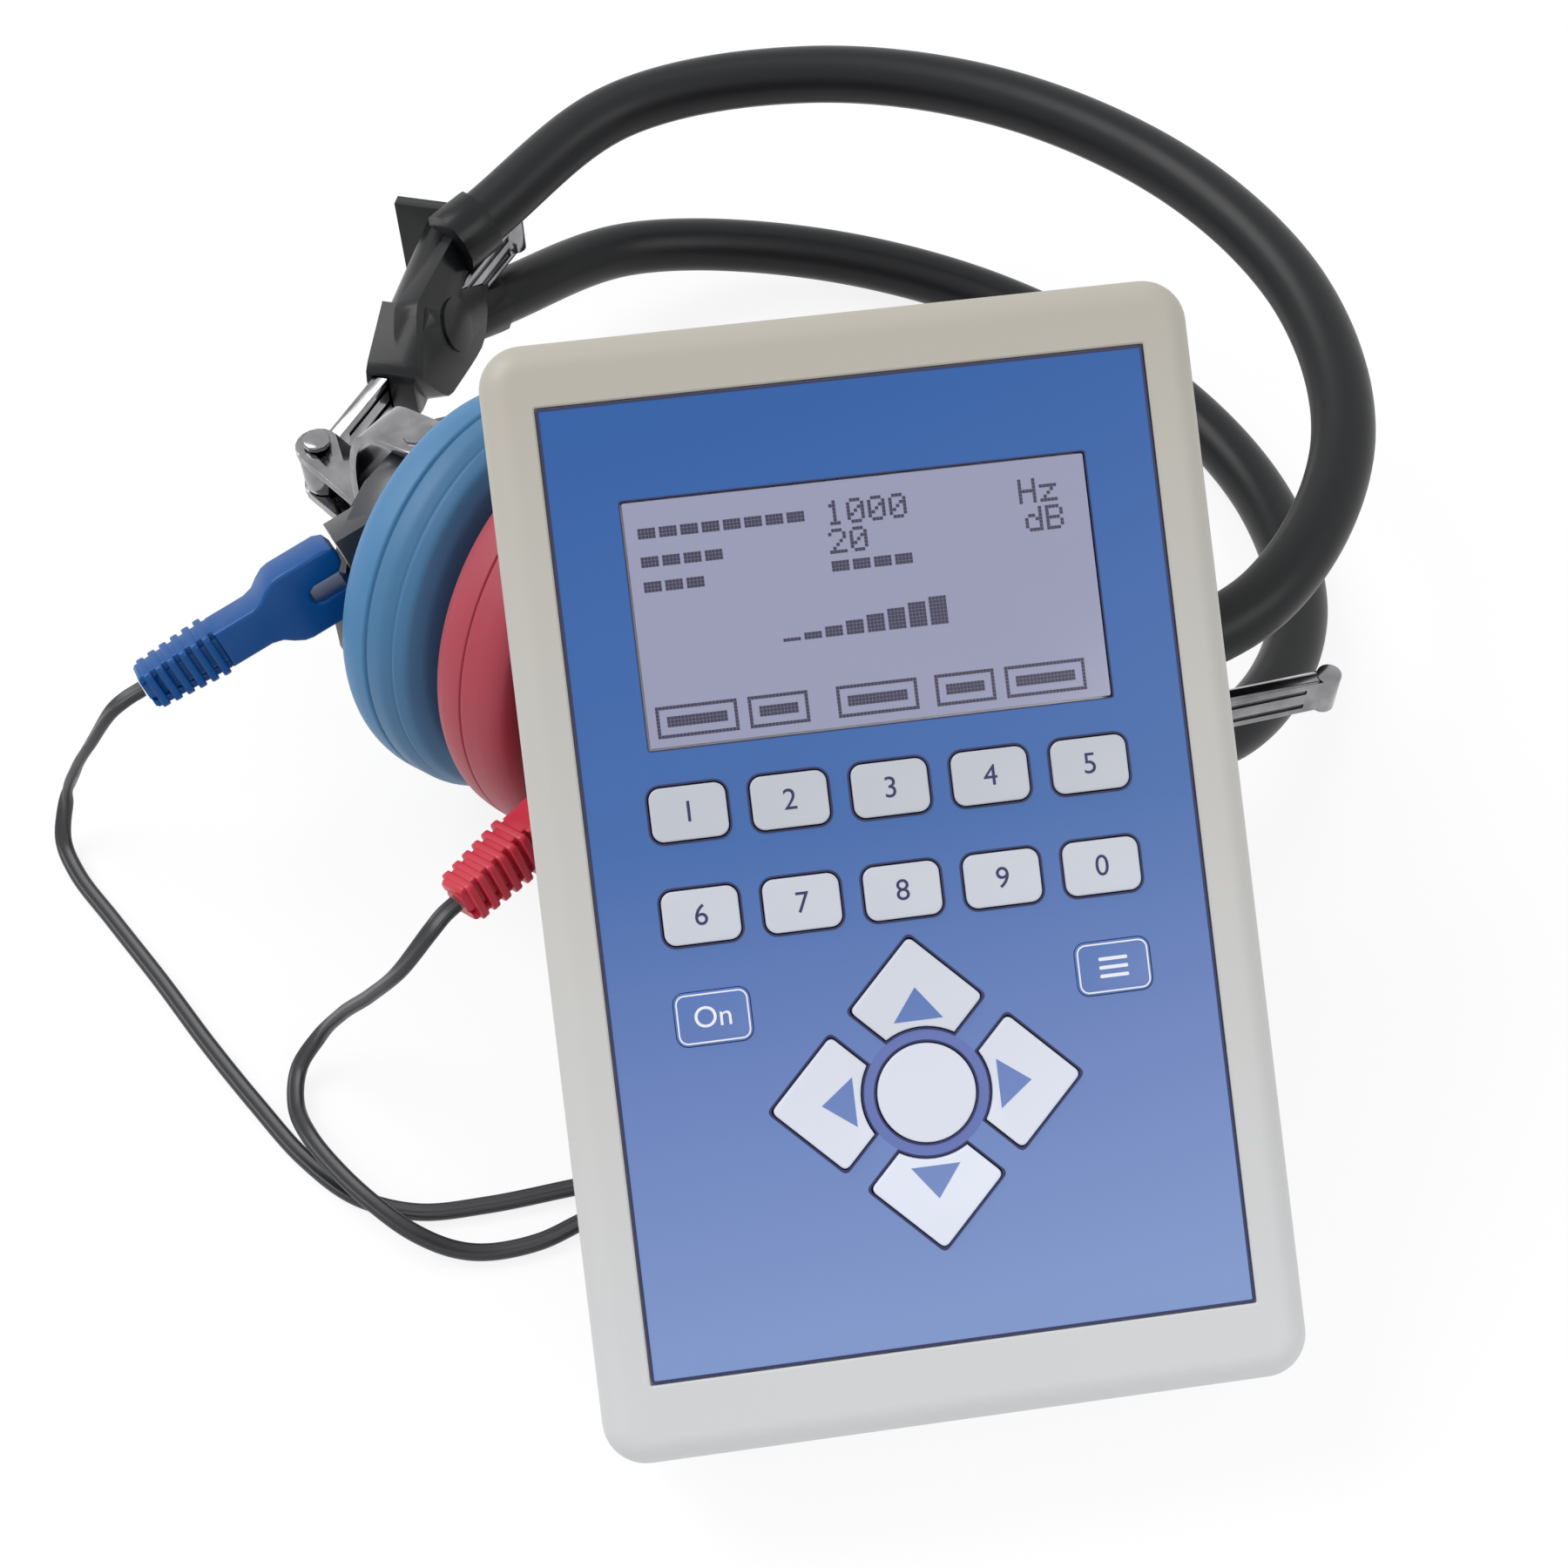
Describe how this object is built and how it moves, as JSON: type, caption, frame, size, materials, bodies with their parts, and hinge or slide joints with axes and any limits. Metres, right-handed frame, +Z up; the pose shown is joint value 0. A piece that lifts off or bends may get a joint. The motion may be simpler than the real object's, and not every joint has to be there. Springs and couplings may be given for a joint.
{
  "type": "pure tone audiometer",
  "caption": "Hand-held pure tone audiometer with a keypad and display, leaning over its blue and red earphone headset with a flat cord.",
  "frame": {"origin": "on the surface it stands on, under the middle of the unit and headset, the cord and its plugs left out", "axes": "+Z up; -Y towards the viewer, the way the unit's lower end points; +X to the viewer's right, across the keypad"},
  "size_m": [0.2645, 0.2986, 0.1292],
  "materials": {
    "case": "fine satin, warm beige-grey",
    "panel_blue": "satin printed membrane, blue",
    "key_white": "satin, pale grey-white",
    "window": "clear glossy window over a grey-violet display",
    "black_plastic": "satin black",
    "black_rubber": "matt black",
    "tube_black": "satin black sleeve on spring tube",
    "chrome": "polished",
    "steel": "brushed",
    "board": "green solder mask",
    "blue_rubber": "matt, soft",
    "red_rubber": "matt, soft",
    "blue_plug": "smooth blue moulding",
    "red_plug": "smooth red moulding",
    "cord": "satin black"
  },
  "bodies": {
    "base": {"front_shell": "case", "back_shell": "case", "panel": "panel_blue", "lcd_window": "window", "lcd_module": "steel", "main_pcb": "board", "keypad_mat": "black_rubber", "battery": "steel", "battery_snap": "black_plastic", "earphone_socket": "black_plastic", "screw_1": "steel", "screw_2": "steel", "screw_3": "steel", "screw_4": "steel", "foot_lower": "black_rubber", "foot_upper": "black_rubber", "band_tube_upper": "tube_black", "band_tube_lower": "tube_black", "clamp_left": "black_plastic", "clamp_right": "black_plastic", "cord_left": "cord", "cord_right": "cord", "cord_junction": "cord", "cord_lead": "cord", "cord_coil": "cord", "cord_tail": "cord", "unit_plug": "black_plastic"},
    "door": {"battery_door": "case"},
    "b_key_1": {"key_1": "key_white"},
    "b_key_2": {"key_2": "key_white"},
    "b_key_3": {"key_3": "key_white"},
    "b_key_4": {"key_4": "key_white"},
    "b_key_5": {"key_5": "key_white"},
    "b_key_6": {"key_6": "key_white"},
    "b_key_7": {"key_7": "key_white"},
    "b_key_8": {"key_8": "key_white"},
    "b_key_9": {"key_9": "key_white"},
    "b_key_0": {"key_0": "key_white"},
    "b_key_on": {"key_on": "panel_blue"},
    "b_key_menu": {"key_menu": "panel_blue"},
    "b_key_up": {"key_up": "key_white"},
    "b_key_left": {"key_left": "key_white"},
    "b_key_down": {"key_down": "key_white"},
    "b_key_right": {"key_right": "key_white"},
    "b_key_centre": {"key_centre": "key_white"},
    "arm_left": {"slide_left": "chrome", "yoke_left": "chrome", "rivet_left": "chrome"},
    "phone_left": {"earphone_left": "black_plastic", "cushion_left": "blue_rubber", "receiver_left": "black_plastic", "plug_left": "blue_plug"},
    "arm_right": {"slide_right": "chrome", "yoke_right": "chrome", "rivet_right": "chrome"},
    "phone_right": {"earphone_right": "black_plastic", "cushion_right": "red_rubber", "receiver_right": "black_plastic", "plug_right": "red_plug"}
  },
  "joints": [
    {"name": "key_1_press", "type": "slide", "parent": "base", "child": "b_key_1", "axis": [0, 0.5878, -0.809], "range_m": [0, 0.0005], "stiffness_N_per_m": 400},
    {"name": "key_2_press", "type": "slide", "parent": "base", "child": "b_key_2", "axis": [0, 0.5878, -0.809], "range_m": [0, 0.0005], "stiffness_N_per_m": 400},
    {"name": "key_3_press", "type": "slide", "parent": "base", "child": "b_key_3", "axis": [0, 0.5878, -0.809], "range_m": [0, 0.0005], "stiffness_N_per_m": 400},
    {"name": "key_4_press", "type": "slide", "parent": "base", "child": "b_key_4", "axis": [0, 0.5878, -0.809], "range_m": [0, 0.0005], "stiffness_N_per_m": 400},
    {"name": "key_5_press", "type": "slide", "parent": "base", "child": "b_key_5", "axis": [0, 0.5878, -0.809], "range_m": [0, 0.0005], "stiffness_N_per_m": 400},
    {"name": "key_6_press", "type": "slide", "parent": "base", "child": "b_key_6", "axis": [0, 0.5878, -0.809], "range_m": [0, 0.0005], "stiffness_N_per_m": 400},
    {"name": "key_7_press", "type": "slide", "parent": "base", "child": "b_key_7", "axis": [0, 0.5878, -0.809], "range_m": [0, 0.0005], "stiffness_N_per_m": 400},
    {"name": "key_8_press", "type": "slide", "parent": "base", "child": "b_key_8", "axis": [0, 0.5878, -0.809], "range_m": [0, 0.0005], "stiffness_N_per_m": 400},
    {"name": "key_9_press", "type": "slide", "parent": "base", "child": "b_key_9", "axis": [0, 0.5878, -0.809], "range_m": [0, 0.0005], "stiffness_N_per_m": 400},
    {"name": "key_0_press", "type": "slide", "parent": "base", "child": "b_key_0", "axis": [0, 0.5878, -0.809], "range_m": [0, 0.0005], "stiffness_N_per_m": 400},
    {"name": "key_on_press", "type": "slide", "parent": "base", "child": "b_key_on", "axis": [0, 0.5878, -0.809], "range_m": [0, 0.0005], "stiffness_N_per_m": 400},
    {"name": "key_menu_press", "type": "slide", "parent": "base", "child": "b_key_menu", "axis": [0, 0.5878, -0.809], "range_m": [0, 0.0005], "stiffness_N_per_m": 400},
    {"name": "key_up_press", "type": "slide", "parent": "base", "child": "b_key_up", "axis": [0, 0.5878, -0.809], "range_m": [0, 0.0005], "stiffness_N_per_m": 400},
    {"name": "key_left_press", "type": "slide", "parent": "base", "child": "b_key_left", "axis": [0, 0.5878, -0.809], "range_m": [0, 0.0005], "stiffness_N_per_m": 400},
    {"name": "key_down_press", "type": "slide", "parent": "base", "child": "b_key_down", "axis": [0, 0.5878, -0.809], "range_m": [0, 0.0005], "stiffness_N_per_m": 400},
    {"name": "key_right_press", "type": "slide", "parent": "base", "child": "b_key_right", "axis": [0, 0.5878, -0.809], "range_m": [0, 0.0005], "stiffness_N_per_m": 400},
    {"name": "key_centre_press", "type": "slide", "parent": "base", "child": "b_key_centre", "axis": [0, 0.5878, -0.809], "range_m": [0, 0.0005], "stiffness_N_per_m": 400},
    {"name": "battery_door_slide", "type": "slide", "parent": "base", "child": "door", "axis": [0, 0.809, 0.5878], "range_m": [0, 0.004]},
    {"name": "height_left", "type": "slide", "parent": "base", "child": "arm_left", "axis": [0.5524, 0.8336, 0], "range_m": [0, 0.008]},
    {"name": "tilt_left", "type": "hinge", "parent": "arm_left", "child": "phone_left", "pos_m": [-0.07336, 0.02733, 0.03825], "axis": [-0.1244, 0.1236, 0.9845], "range_deg": [-3, 3]},
    {"name": "height_right", "type": "slide", "parent": "base", "child": "arm_right", "axis": [0.9942, 0.1071, 0], "range_m": [0, 0.006]},
    {"name": "tilt_right", "type": "hinge", "parent": "arm_right", "child": "phone_right", "pos_m": [-0.03564, -0.01013, 0.04772], "axis": [-0.1244, 0.1236, 0.9845], "range_deg": [-3, 3]}
  ]
}
